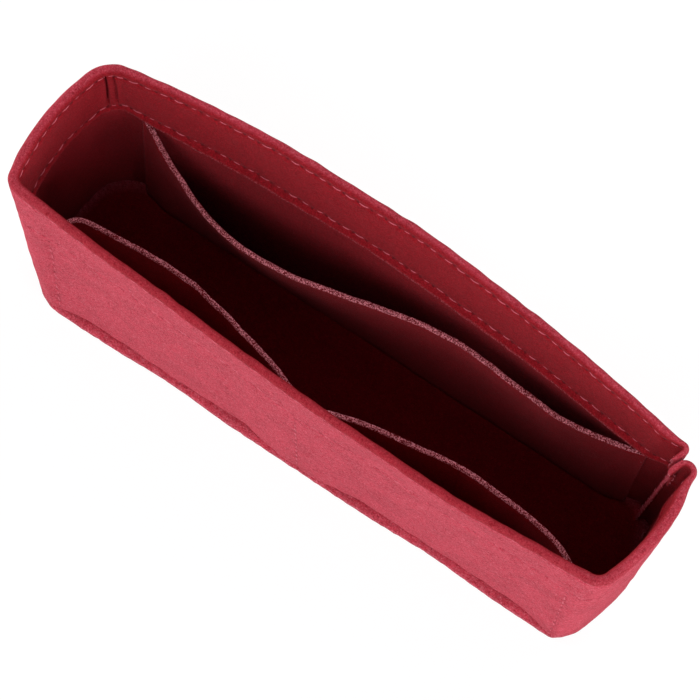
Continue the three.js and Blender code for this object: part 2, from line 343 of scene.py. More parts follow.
# How many stations the base has round a corner and along each side, starting with the front.
BASE_CORNER_STEPS = 16
BASE_SIDE_STEPS = (120, 20, 120, 20)
# Waves that draw the base's front edge in: depth, distance from the middle and half width.
BASE_WAVE = 0.9 * MM
BASE_WAVE_PLACE = 52 * MM
BASE_WAVE_WIDTH = 16 * MM
# The base's rounded edge: inset and height from its nearer face, in millimetres.
BASE_EDGE = ((0.5, 0), (0.15, 0.2), (0, 0.6))
# Rings on each face of the base: how many, and in millimetres the first one's inset and how near the last one
# comes to the middle.
BASE_RINGS = 9
BASE_FIRST = 2
BASE_LAST = 3
# How plainly the base's edge shows as cut, and how far in its painted sheen reaches.
BASE_CUT = 0.3
BASE_SHEEN = 4 * MM


def ease(start, end, value):
    """Goes smoothly from 0 at start to 1 at end."""
    share = np.clip((value - start) / (end - start), 0, 1)
    return share * share * (3 - 2 * share)


def hump(offset, width):
    """A round bump of height 1."""
    return np.exp(-((offset / width) ** 2))


def lumps(points, size, seed):
    """Soft irregular lumps of about the given size, between about -1 and 1."""
    waves = 14
    draw = np.random.default_rng(seed)
    ways = draw.normal(size=(waves, 3))
    ways /= np.linalg.norm(ways, axis=1)[:, None] * size * draw.uniform(0.7, 1.5, (waves, 1))
    starts = draw.uniform(0, 2 * np.pi, waves)
    return np.sin(2 * np.pi * points @ ways.T + starts).sum(axis=1) / math.sqrt(waves)


def uneven(points, kinds):
    """The sum of several kinds of lumps, each given as its height, size and seed."""
    return sum(high * lumps(points, size, seed) for high, size, seed in kinds)


def travel(points):
    """Distance along a line of points."""
    steps = np.linalg.norm(np.diff(points, axis=0), axis=1)
    return np.concatenate([[0], np.cumsum(steps)])


def arc(centre, radius, start, end, steps):
    """Points on an arc, its angles in degrees."""
    turns = np.radians(np.linspace(start, end, steps + 1))
    return np.array(centre) + radius * np.stack([np.cos(turns), np.sin(turns)], axis=1)


def between(start, end, steps):
    """Points strictly between two others."""
    shares = np.linspace(0, 1, steps + 1)[1:-1, None]
    return start + (end - start) * shares


def corner_arcs(half, ways, radii, start, steps):
    """Quarter arcs in corners of a rectangle, each a quarter turn on from the one before."""
    arcs = []
    for k, (way, radius) in enumerate(zip(ways, radii)):
        turned = start + 90 * k
        arcs.append(arc((half - radius) * way, radius, turned, turned + 90, steps))
    return arcs


def heading(line):
    """Direction of a line in plan at each of its points."""
    along = np.gradient(line, axis=0)
    return along / np.linalg.norm(along, axis=1)[:, None]


def across_at(line, x):
    """Distance in y of a line in plan at each x."""
    order = np.argsort(line[:, 0])
    return np.interp(x, line[order, 0], line[order, 1])


def bow_ends(line, full_length, full_width, bow, slant, draw):
    """How far the ends of a line round the box bow out along x, less the right end's slant and draw."""
    x, y = (line / (np.array([full_length, full_width]) / 2)).T
    front = np.clip((SLANT_START - y) / (1 + SLANT_START), 0, 1)
    right = slant * front + draw * np.clip(y, 0, 1)
    ends = bow * np.sign(x) * np.clip(1 - y**2, 0, 1) - np.where(x > 0, right, 0)
    return ends * np.abs(x) ** END_BOW_POWER


def sag(x, side, pockets):
    """Share of the ledge that shows along a long wall: none at its corners and at a middle seam."""
    along = np.abs(x)
    start, end = LEDGE_SIDE
    shown = 1 - ease(pockets.front_seam + start, pockets.front_seam + end, along)
    if side == FRONT:
        shown = shown * ease(*LEDGE_MIDDLE, along)
    return shown


class Wall:
    """The wall sheet: a line in plan at every height, anticlockwise from the closing seam back to it."""

    def __init__(self, scene):
        self.shape = scene.organizer_shape
        self.felt = scene.organizer_felt
        self.stitch = scene.organizer_stitch
        self.pockets = scene.organizer_pockets
        shape = self.shape
        top, low = self.felt.seam_allowance, self.felt.foot_allowance
        rim = (shape.rim_back_left, shape.rim_front_left, shape.rim_front_right)
        foot = (shape.foot_left, shape.foot_left, shape.foot_right)
        self.rim = self.outline(shape.rim_length, shape.rim_width, rim, top)
        self.foot = self.outline(shape.foot_length, shape.foot_width, foot, low)
        self.count = len(self.rim)
        self.sewn = slice(FIN_STEPS + TURN_STEPS, self.count - FIN_STEPS - TURN_STEPS)
        self.rim = self.close_corner(self.rim, self.bow_rim())
        self.foot = self.close_corner(self.foot, self.sag_foot())
        self.fin = np.zeros(self.count)
        self.fin[: FIN_STEPS + 1] = np.linspace(1, 0, FIN_STEPS + 1)
        self.fin[-FIN_STEPS - 1 :] = np.linspace(0, 1, FIN_STEPS + 1)
        self.waisted = np.zeros(self.count)
        front = self.side[FRONT]
        self.waisted[front] = 1 - ease(*WAIST_ENDS, np.abs(self.rim[front, 0]))
        along = travel(self.rim)
        ends = along[self.sewn][[0, -1]]
        from_turn = np.minimum(along - ends[0], ends[1] - along)
        self.squeezed = 1 - ease(0, SQUEEZE_BLEND, from_turn)
        self.at_end = np.clip(np.abs(self.rim[:, 0]) / shape.rim_length * 2, 0, 1) ** END_BOW_POWER
        self.pressed = self.felt.press * (1 - END_PRESS_LOSS * self.at_end)
        self.flare = self.felt.hem_flare * (1 - END_FLARE_LOSS * self.at_end)
        self.hem_edge = shape.height - self.felt.hem_depth
        self.fold_start = shape.height - self.felt.thickness - self.felt.fold_puff

    def outline(self, full_length, full_width, radii, allowance):
        """The outer face in plan. Also notes where the long walls and the corners are."""
        felt = self.felt
        half = np.array([full_length, full_width]) / 2
        lean = math.degrees(felt.turn_lean)
        inwards = -np.array([math.sin(felt.turn_lean), math.cos(felt.turn_lean)])
        apart = felt.back_turn + felt.end_turn + felt.seam_gap - felt.end_drop * math.sin(felt.turn_lean)
        apart = apart * np.array([-inwards[1], inwards[0]])
        fin = np.linspace(0, allowance, FIN_STEPS + 1)[1:, None]
        back_centre = half - (felt.end_turn + apart[0], felt.back_turn)
        back_turn = arc(back_centre, felt.back_turn, -lean, 90, TURN_STEPS)
        end_centre = back_centre + apart - (0, felt.end_drop)
        end_turn = arc(end_centre, felt.end_turn, 0, 180 - lean, TURN_STEPS)
        corners = corner_arcs(half, ((-1, 1), (-1, -1), (1, -1)), radii, 90, CORNER_STEPS)
        stretches = [
            (back_turn[0] + inwards * fin)[::-1],
            back_turn,
            between(back_turn[-1], corners[0][0], LONG_STEPS),
            corners[0],
            between(corners[0][-1], corners[1][0], END_STEPS),
            corners[1],
            between(corners[1][-1], corners[2][0], LONG_STEPS),
            corners[2],
            between(corners[2][-1], end_turn[0], END_STEPS),
            end_turn,
            end_turn[-1] + inwards * fin,
        ]
        ends = np.cumsum([len(stretch) for stretch in stretches])
        self.side = {BACK: slice(ends[0], ends[3]), FRONT: slice(ends[4], ends[7])}
        self.off_corner = np.full(ends[-1], 180.0)
        for k in (3, 5, 7):
            self.off_corner[ends[k] - CORNER_STEPS - 1 : ends[k]] = np.linspace(-45, 45, CORNER_STEPS + 1)
        return np.concatenate(stretches)

    def bow_rim(self):
        """The rim, bowed outwards, most at the middle of each wall."""
        shape, rim = self.shape, self.rim.copy()
        x, y = (rim / (np.array([shape.rim_length, shape.rim_width]) / 2)).T
        back = shape.back_bow * (1 - shape.back_skew * x)
        front = shape.front_bow * (1 + shape.front_skew * x)
        rim[:, 1] += np.where(y > 0, back, front) * y * np.clip(1 - x**2, 0, 1)
        rim[:, 1] += (shape.front_set + shape.front_tilt * x) * np.clip(-y, 0, 1)
        rim[:, 0] += bow_ends(rim, shape.rim_length, shape.rim_width, shape.end_bow, shape.end_slant, 0)
        return rim

    def sag_foot(self):
        """The foot, its ends bowed and its long walls drawn in from the edge of the base."""
        shape, foot = self.shape, self.foot.copy()
        size = shape.foot_length, shape.foot_width
        foot[:, 0] += bow_ends(foot, *size, shape.foot_bow, shape.foot_slant, shape.foot_draw)
        for side, stretch in self.side.items():
            foot[stretch, 1] -= side * shape.ledge * sag(foot[stretch, 0], side, self.pockets)
        return foot

    def close_corner(self, plain, bowed):
        """The bowed line, with its two turned-in ends moved as one so that the bows don't part them."""
        moved = bowed - plain
        joints = [self.sewn.start, self.sewn.stop - 1]
        along = travel(plain)
        off = np.clip(np.minimum(along - along[joints[0]], along[joints[1]] - along), 0, None)
        near = 1 - ease(0, JOINT_BLEND, off)[:, None]
        shift = np.array([moved[joints[1], 0], moved[joints[0], 1]])
        return plain + moved * (1 - near) + shift * near

    def plan(self, z):
        """The outer face at a height: straight from foot to rim, but for the turned-in ends and the waist."""
        row, height = self.stitch.lower_row, self.shape.height
        z = np.broadcast_to(z, self.count)
        share = (z / height)[:, None]
        line = self.foot * (1 - share) + self.rim * share
        self.draw_fins(line, z)
        drawn = np.clip(np.minimum(z / row, (height - z) / (height - row)), 0, 1)
        line[:, 1] += self.shape.waist * self.waisted * np.sin(np.pi / 2 * drawn)
        return line

    def draw_fins(self, line, z):
        """Draws the turned-in ends back to their roots, more and more below the upper row."""
        row = self.stitch.upper_row
        shown = (FIN_LEAST + (1 - FIN_LEAST) * ease(row - FIN_FADE, row, z))[:, None]
        for root, fin in ((FIN_STEPS, slice(FIN_STEPS)), (-FIN_STEPS - 1, slice(-FIN_STEPS, None))):
            line[fin] = line[root] + (line[fin] - line[root]) * shown[fin]

    def inward(self, z):
        """Direction into the box at each station."""
        along = heading(self.plan(z))
        return np.stack([-along[:, 1], along[:, 0]], axis=1)

    def ring(self, inset, z):
        """The line at a height, moved into the box by inset. Both may change from station to station."""
        z = np.broadcast_to(z, self.count)
        inset = np.broadcast_to(inset, self.count)
        return np.column_stack([self.plan(z) + self.inward(z) * inset[:, None], z])

    def face(self, side, x, z):
        """Distance in y of the outer face of a long wall at each x, at one height."""
        return across_at(self.plan(z)[self.side[side]], x)

    def phase(self):
        """Needle holes of the hem's rows, counted along the wall: a whole number at each hole."""
        row = travel(self.ring(0, self.stitch.lower_row)[self.sewn])
        phase = np.full(self.count, 0.5)
        phase[self.sewn] = row / row[-1] * round(row[-1] / self.stitch.pitch)
        return phase

    def off_seam(self, z):
        """Distance along x from the nearest pocket seam, at height z. Far away where there is none."""
        x = self.plan(z)[:, 0]
        off = np.full(self.count, FAR)
        for side, seams in seam_places(self.pockets).items():
            stretch = self.side[side]
            away = x[stretch, None] - np.array(seams)
            off[stretch] = away[np.arange(len(away)), np.abs(away).argmin(axis=1)]
        return off

    def rows_pull(self, z):
        """How far the hem's two rows of stitches pull the felt in at height z."""
        rows = (self.stitch.upper_row, self.stitch.lower_row)
        return sum(self.stitch.depth * hump(z - row, self.stitch.groove) for row in rows)

    def seam_pull(self, z):
        """How far the pocket seams pull the outer face in at height z."""
        low, high = self.felt.thickness, self.pockets.top
        reach = ease(low, low + SEAM_FOOT, z) * (1 - ease(high, high + SEAM_HEAD, z))
        return self.stitch.depth * reach * hump(self.off_seam(z), SEAM_GROOVE)

    def tuck(self, z):
        """Depth of the tucks that take up the hem's spare felt in the three inside corners."""
        off = self.off_corner
        wander = sum(swing * np.sin(z / wave) for swing, wave in TUCK_WANDERS)
        slit = sum(deep * hump(off - turn - wander, wide) for turn, wide, deep in TUCKS)
        strip = 1 - ease(*TUCK_STRIP, np.abs(off))
        low, high = self.stitch.lower_row - TUCK_DROP, self.stitch.upper_row
        reach = ease(low, low + TUCK_FADE, z) * (1 - ease(high, self.fold_start, z))
        return self.felt.tuck * reach * (slit + STRIP_DEPTH * strip)

    def sewn_down(self, z):
        """Goes from 0 at the hem's loose edge to 1 at its lower row."""
        return ease(self.hem_edge, self.stitch.lower_row, z)

    def outer_inset(self, z):
        """How far grooves and the crease at the foot lie inside the outer face."""
        crease = FOOT_CREASE * hump(z - self.felt.thickness, CREASE_REACH)
        return self.rows_pull(z) + self.seam_pull(z) + crease

    def hem_inset(self, z):
        """How far the hem's face lies inside the outer face."""
        loose = self.flare * (1 - self.sewn_down(z))
        return 2 * self.felt.thickness - self.rows_pull(z) - self.tuck(z) + loose

    def section(self):
        """The sheet's section as (face, inset, height, cut) points, from the foot up the outside."""
        felt, row = self.felt, self.stitch
        thick = felt.thickness
        foot, edge, fold = thick, self.hem_edge, self.fold_start
        lower = np.linspace(row.lower_row - ROW_BAND, row.lower_row + ROW_BAND, ROW_LEVELS)
        upper = np.linspace(row.upper_row - ROW_BAND, fold, ROW_LEVELS)
        middle = np.linspace(lower[-1], upper[0], HEM_LEVELS)[1:-1]
        outside = np.concatenate([
            foot + np.array(FOOT_LEVELS) * MM,
            np.linspace(foot + WALL_START, lower[0], WALL_LEVELS)[:-1],
            lower,
            middle,
            upper,
        ])
        inside = outside[::-1][: len(upper) + len(middle) + len(lower)]
        inside = inside[inside > edge + HEM_ROUND]
        points = [("outer", 0, z, 0) for z in outside]
        radius = thick + felt.fold_puff
        for turn in np.radians(np.linspace(180, 0, FOLD_STEPS + 1)[1:-1]):
            points.append(("fold", thick + radius * math.cos(turn), fold + radius * math.sin(turn), 0))
        points += [("hem", 0, z, 0) for z in inside]
        points += [("edge", 2 * thick - inset * MM, edge + z * MM, 1) for inset, z in CUT_EDGE]
        hidden = np.linspace(edge + HIDDEN_ROUND, fold, HIDDEN_LEVELS)
        points += [("under", thick + felt.hem_gap, z, 0) for z in hidden]
        points += [("inner", thick, z, 0) for z in np.linspace(fold, edge, HIDDEN_LEVELS)]
        inner = np.linspace(edge, foot + INNER_START, INNER_LEVELS)[1:]
        points += [("inner", thick, z, 0) for z in inner]
        return points + [("inner", thick - inset * MM, foot + z * MM, 1) for inset, z in FOOT_EDGE]

    def surface(self, face, inset, z):
        """One line of the finished sheet, with its grooves, tucks and waves."""
        station = self.ring(0, z)
        top = np.clip((z - self.hem_edge) / self.felt.hem_depth, 0, 1)
        ragged = uneven(station, RAGGED_FINS) - self.felt.end_droop * self.fin
        height = z + (uneven(station, RIM_WAVES) + ragged * self.fin) * top**2
        thick = self.felt.thickness
        if face == "outer":
            inset = self.outer_inset(z)
        elif face == "fold":
            share = np.clip(inset / (2 * thick), 0, 1)
            dip = 2 * thick - self.hem_inset(self.fold_start)
            inset = inset + (1 - share) * self.outer_inset(self.fold_start) - share * dip
        elif face == "hem":
            inset = self.hem_inset(z)
        elif face in ("edge", "under"):
            inset = inset + self.flare * (1 - self.sewn_down(z))
        if face in ("hem", "edge"):
            height = height + uneven(station, HEM_WAVES) * (1 - top) ** 2
        inset = inset * (1 - self.felt.squeeze * self.squeezed)
        inset = inset * (1 - self.pressed * self.sewn_down(z))
        core = thick if z > self.hem_edge else thick / 2
        inset = inset + FIN_THINNING * (core - inset) * ease(FIN_THIN_START, 1, self.fin)
        ring = self.ring(inset, height)
        if face not in ("outer", "fold", "hem"):
            return ring
        return self.ring(inset + uneven(ring, WALL_LUMPS) * (1 - SQUEEZE_CALM * self.squeezed), height)

    def marks(self, section):
        """What the felt's shader needs to know at each point of the section and each station."""
        row, thick, front = self.stitch.upper_row, self.felt.thickness, self.side[FRONT]
        # The rim's share of the outside's painted sheen, less on the front rim; the rest takes the inside's
        # painted shade.
        rim = np.full(self.count, RIM_SHEEN)
        rim[front] -= FRONT_SHEEN_LOSS * (1 - self.at_end[front])
        nap = [outer_share(face, inset / thick, z > row, rim) for face, inset, z, _ in section]
        level = np.array([z for _, _, z, _ in section])
        flags = np.array([flag for *_, flag in section], float)
        # The hem's pale cut edge, dimmed towards the ends as painted shade.
        cut = HEM_CUT * flags[:, None] * (1 - END_CUT_SHADE * self.at_end)
        cut[:, [0, -1]] = FIN_CUT * ease(row - FIN_CUT_FADE, row, level)[:, None]
        seam = []
        for face, _, z, _ in section:
            shown = face == "outer" and z < self.pockets.top + SEAM_SHOWN
            seam.append(self.off_seam(z) if shown else np.full(self.count, FAR))
        return {
            "cut": cut,
            "nap": np.stack(nap),
            "phase": np.tile(self.phase(), len(section)),
            "level": np.repeat(level, self.count),
            "seam": np.stack(seam),
        }


def outer_share(face, across, over_row, rim):
    """Share of painted sheen, the lighter outside colour, against painted shade, the darker inside one: all
    outside, the rim's share over the upper row, and none on the hem.
    """
    if face == "fold":
        return rim * (1 - ease(*SHEEN_FADE, across))
    if face == "outer":
        return rim if over_row else np.ones(len(rim))
    return np.zeros(len(rim))


def seam_places(pockets):
    """Where the pockets are sewn to the long walls, along x."""
    return {
        FRONT: (pockets.left_shift - pockets.front_seam, 0, pockets.front_seam),
        BACK: (-pockets.back_seam, pockets.back_seam),
    }


def settle(points, shape):
    """Twists and slips the soft box under its rim, and moves it from the base's middle to its place."""
    points = np.array(points, float)
    share = 1 - points[:, 2] / shape.height
    turn = shape.base_turn * share
    x = points[:, 0] * np.cos(turn) - points[:, 1] * np.sin(turn) + shape.base_slip * share
    y = points[:, 0] * np.sin(turn) + points[:, 1] * np.cos(turn)
    return np.column_stack([x + MIDDLE.x, y + MIDDLE.y, points[:, 2]])


# What the shader is told about a point of the felt, where a piece doesn't say: how plainly it shows as cut,
# how much painted sheen it has (the lighter outside colour, where the darker inside one is painted shade),
# the needle holes counted along the hem, its height on the wall, and its distance from a pocket seam.
MARKS = {"cut": 0.0, "nap": 0.0, "phase": 0.5, "level": 0.0, "seam": FAR}


def add_object(name, data):
    """A new object in the scene."""
    made = bpy.data.objects.new(name, data)
    bpy.context.scene.collection.objects.link(made)
    return made


def felt_piece(name, rings, flat_section, marks, shape, material):
    """A closed mesh through rings[section point][station], with its two ends capped."""
    rows, stations = len(rings), len(rings[0])
    points = settle(np.concatenate(rings), shape)
    grid = np.arange(rows * stations).reshape(rows, stations)
    after = np.roll(grid, -1, axis=0)
    quads = np.stack([grid[:, :-1], grid[:, 1:], after[:, 1:], after[:, :-1]], axis=-1).reshape(-1, 4)
    caps = tessellate_polygon([[Vector((inset, z, 0)) for inset, z in flat_section]])
    first = [tuple(int(grid[k, 0]) for k in tri) for tri in caps]
    last = [tuple(int(grid[k, -1]) for k in reversed(tri)) for tri in caps]
    return mesh_piece(name, points, quads.tolist(), first + last, marks, material)


def mesh_piece(name, points, smooth_faces, flat_faces, marks, material):
    """A felt object at the origin, marked for the felt's shader."""
    mesh = bpy.data.meshes.new(name)
    mesh.from_pydata(points.tolist(), [], smooth_faces + flat_faces)
    smooth = np.ones(len(mesh.polygons), bool)
    smooth[len(smooth_faces) :] = False
    mesh.polygons.foreach_set("use_smooth", smooth)
    for mark, usual in MARKS.items():
        values = np.ravel(marks.get(mark, np.full(len(points), usual))).astype(np.float32)
        mesh.attributes.new(mark, "FLOAT", "POINT").data.foreach_set("value", values)
    mesh.materials.append(material)
    mesh.validate()
    if signed_volume(mesh) < 0:
        mesh.flip_normals()
    return add_object(name, mesh)


def signed_volume(mesh):
    """Volume of a closed mesh, below zero where its faces look inwards."""
    mesh.calc_loop_triangles()
    corners = np.array([tri.vertices for tri in mesh.loop_triangles])
    points = np.array([vertex.co for vertex in mesh.vertices])
    a, b, c = (points[corners[:, k]] for k in range(3))
    return float((a * np.cross(b, c)).sum() / 6)


def rise(distance, reach, power):
    """Goes from 0 at a seam to 1 at reach, as a quarter wave raised to a power."""
    return np.sin(np.clip(distance / reach, 0, 1) * np.pi / 2) ** power


def front_gape(x, pockets):
    """How far the front pocket's mouth stands off its wall at x."""
    along = np.abs(x)
    land = pockets.land
    deepest = pockets.front_seam - pockets.front_reach
    seam = np.where(x < 0, pockets.front_seam - pockets.left_shift, pockets.front_seam)
    straight = np.clip((along - land) / (deepest - land), 0, 1)
    inner = (straight + rise(along - land, deepest - land, MIDDLE_RISE_POWER)) / 2
    outer = rise(seam - land - along, seam - land - deepest, SIDE_RISE_POWER)
    return pockets.front_gape * np.where(along < deepest, inner, outer)


def back_gape(x, pockets):
    """How far the back pocket's mouth stands off its wall at x."""
    land, reach = pockets.land, pockets.back_reach
    deepest = reach - pockets.back_seam
    left = pockets.back_gape * rise(x + pockets.back_seam - land, reach - land, 1)
    settled = rise(x - deepest, pockets.back_settle, SETTLE_POWER)
    slack = pockets.back_gape + (pockets.back_slack - pockets.back_gape) * settled
    right = slack * rise(pockets.back_seam - land - x, pockets.back_taper, 1)
    return np.where(x < deepest, left, right)


class Pocket:
    """A pocket sheet that lies against a long wall at its foot and stands off it at its mouth."""

    def __init__(self, scene, side, gape, stops):
        self.wall = Wall(scene)
        self.side = side
        self.gape = gape
        self.pockets = scene.organizer_pockets
        self.thick = POCKET_SHARE * scene.organizer_felt.thickness
        self.foot = scene.organizer_felt.thickness + FOOT_GAP
        self.stops = stops
        self.stations = [stops[:1]]
        for low, high in zip(stops, stops[1:]):
            self.stations.append(np.linspace(low, high, round((high - low) / STATION))[1:])
        self.x = np.concatenate(self.stations)

    def middle_line(self, x, z):
        """The middle of the sheet's thickness in plan, and its direction into the box."""
        share = (z - self.foot) / (self.pockets.top - self.foot)
        depth = self.foot + WALL_GAP + self.thick / 2 + self.gape(x, self.pockets) * share
        if self.side == FRONT:
            stand = self.pockets.loose * hump(x + self.pockets.front_seam, LOOSE_WIDTH)
            depth = depth + stand * ease(LOOSE_START, 1, share)
        line = np.column_stack([x, self.wall.face(self.side, x, z) - self.side * depth])
        along = heading(line)
        return line, np.stack([along[:, 1], -along[:, 0]], axis=1) * self.side

    def line(self, x, offset, z, fray):
        """A line of the finished sheet, offset into the box from the middle of its thickness."""
        middle, inwards = self.middle_line(x, z)
        flat = np.column_stack([middle, np.full(len(x), z)])
        flat[:, :2] += inwards * (offset + uneven(flat, POCKET_LUMPS))[:, None]
        flat[:, 2] += fray * uneven(flat, POCKET_FRAY)
        return flat

    def section(self):
        """(offset, height, cut) points round the sheet's edge, from the foot up the wall side."""
        half, top = self.thick / 2, self.pockets.top
        levels = np.linspace(self.foot, top - CROWN_DROP, POCKET_LEVELS)
        points = [(-half, z, 0) for z in levels]
        points += [(half * across, top + up * MM, 1) for across, up in POCKET_CROWN]
        return points + [(half, z, 0) for z in levels[::-1]]

    def piece(self, name, part, material):
        """The part of the sheet between two of its stops, as a closed mesh, and the part's width."""
        ends = np.cumsum([len(stretch) for stretch in self.stations]) - 1
        span = slice(ends[part], ends[part + 1] + 1)
        section = self.section()
        rings = [self.line(self.x, offset, z, cut)[span] for offset, z, cut in section]
        outline = [(offset, z) for offset, z, _ in section]
        cut = np.array([flag for *_, flag in section], float)[:, None] * np.ones(len(rings[0]))
        if part == 0:
            cut[:, 0] = END_CUT
        if part == len(self.stops) - 2:
            cut[:, -1] = END_CUT
        wide = travel(self.line(self.x, 0, self.pockets.top, 0)[span])[-1]
        return felt_piece(name, rings, outline, {"cut": cut}, self.wall.shape, material), wide


# Nodes

def math_node(operation):
    """A method of Value that adds a Math node for it and for whatever it is worked out with."""
    return lambda value, *others: value.math(operation, value, *others)


class Value:
    """A node's output. Arithmetic on it adds Math nodes to the tree."""

    __add__ = __radd__ = math_node("ADD")
    __sub__ = math_node("SUBTRACT")
    __mul__ = math_node("MULTIPLY")
    __truediv__ = math_node("DIVIDE")
    __pow__ = math_node("POWER")
    __round__ = math_node("ROUND")
    __abs__ = math_node("ABSOLUTE")
    at_most = math_node("MINIMUM")
    at_least = math_node("MAXIMUM")

    def __init__(self, nodes, socket):
        self.nodes = nodes
        self.socket = socket

    def __rsub__(self, other):
        return self.math("SUBTRACT", other, self)

    def math(self, operation, *terms):
        return self.nodes.add("ShaderNodeMath", dict(enumerate(terms)), operation=operation)

    def out(self, name):
        """Another output of the same node."""
        return Value(self.nodes, self.socket.node.outputs[name])


class Nodes:
    """Adds nodes to a tree."""

    def __init__(self, tree):
        self.tree = tree

    def add(self, kind, sockets=None, output=0, **settings):
        """A node of any kind: its settings are set first, then its sockets, to values or links."""
        node = self.tree.nodes.new(kind)
        for name, setting in settings.items():
            setattr(node, name, setting)
        for key, value in (sockets or {}).items():
            if isinstance(value, Value):
                self.tree.links.new(value.socket, node.inputs[key])
            else:
                node.inputs[key].default_value = value
        return Value(self, node.outputs[output]) if node.outputs else node

    def mix(self, share, first, second):
        """A colour between two others."""
        return self.add("ShaderNodeMix", {0: share, 6: first, 7: second}, output=2, data_type="RGBA")

    def ramp(self, value, low, high):
        """A value eased so that low becomes 0 and high becomes 1."""
        ends = {"Value": value, "From Min": low, "From Max": high}
        return self.add("ShaderNodeMapRange", ends, interpolation_type="SMOOTHSTEP")

    def noise(self, place, scale, detail, warp):
        """Cloudy noise between 0 and 1."""
        return self.add("ShaderNodeTexNoise", {
            "Vector": place, "Scale": scale, "Detail": detail, "Distortion": warp, "Roughness": 0.6,
        })

    def squiggles(self, place, scale):
        """Thin wandering lines, 1 on a line and 0 off it."""
        return 1 - self.ramp(abs(self.noise(place, scale, 1, 1.2) - 0.5), 0, SQUIGGLE_WIDTH)

    def mark(self, name):
        """One of the marks on a piece of felt."""
        return self.add("ShaderNodeAttribute", output="Fac", attribute_name=name)

    def bump(self, height, strength, distance):
        """A surface direction with bumps."""
        return self.add("ShaderNodeBump", {"Strength": strength, "Distance": distance, "Height": height})

    def finish(self, shader):
        """Makes a shader the material's surface."""
        self.add("ShaderNodeOutputMaterial", {"Surface": shader})

    def seen(self):
        """1 or more where a ray comes from the camera, straight or by way of a mirror or clear material."""
        path = self.add("ShaderNodeLightPath")
        return path.out("Is Camera Ray") + path.out("Is Glossy Ray") + path.out("Is Transmission Ray")


# Width of the squiggles, as a step in their noise.
SQUIGGLE_WIDTH = 0.09


def new_material(name):
    """An empty material and the builder for its nodes."""
    material = bpy.data.materials.get(name)
    if material is None:
        material = bpy.data.materials.new(name)
    material.use_nodes = True
    material.node_tree.nodes.clear()
    return material, Nodes(material.node_tree)


def opaque(rgb):
    """A colour with full alpha."""
    return (*rgb, 1)


# Materials

# Noise in the felt, from broad clouds to fine specks: scale, detail and warp.
CLOUD = (95, 3, 0.4)
FLECK = (850, 4, 1.4)
GRAIN = (2300, 2, 0.3)
SPECK = (1250, 2, 0.8)
# The longest fibres: turns and stretch of their noise, and the levels between which it shows.
FIBRE_TURNS = ((0.3, 0.5, 0.2), (1.2, -0.4, 1.1), (-0.7, 1.0, 2.1))
FIBRE_STRETCH = (420, 2600, 2600)
FIBRE_LEVELS = (0.58, 0.74)
# Scales of the pale and dark squiggles, and where the dark ones are taken from so that they don't meet.
PALE_SCALE = 800
DARK_SCALE = 700
DARK_PLACE = (0.3, 0.1, 0.2)
# The dark spot and the dimple round a needle hole: where each begins and where it is full.
HOLE_SPOT = (0.8 * MM, 0.3 * MM)
HOLE_DIMPLE = (1.9 * MM, 0.2 * MM)
# Noise in the thread, its plies and its patches, and how dark it gets.
PLY = (3800, 2, 0.5)
PATCH = (240, 1, 0)
THREAD_DARK = 0.55


def needle_holes(nodes, stitch):
    """How far a point is from the nearest needle hole of a seam, in metres."""
    level, phase, seam = nodes.mark("level"), nodes.mark("phase"), nodes.mark("seam")
    along = (phase - round(phase)) * stitch.pitch
    off = FAR
    for row in (stitch.upper_row, stitch.lower_row):
        across = level - row
        off = (along * along + across * across).at_most(off)
    count = level / stitch.pitch
    up = (count - round(count)) * stitch.pitch
    return (seam * seam + up * up).at_most(off) ** 0.5


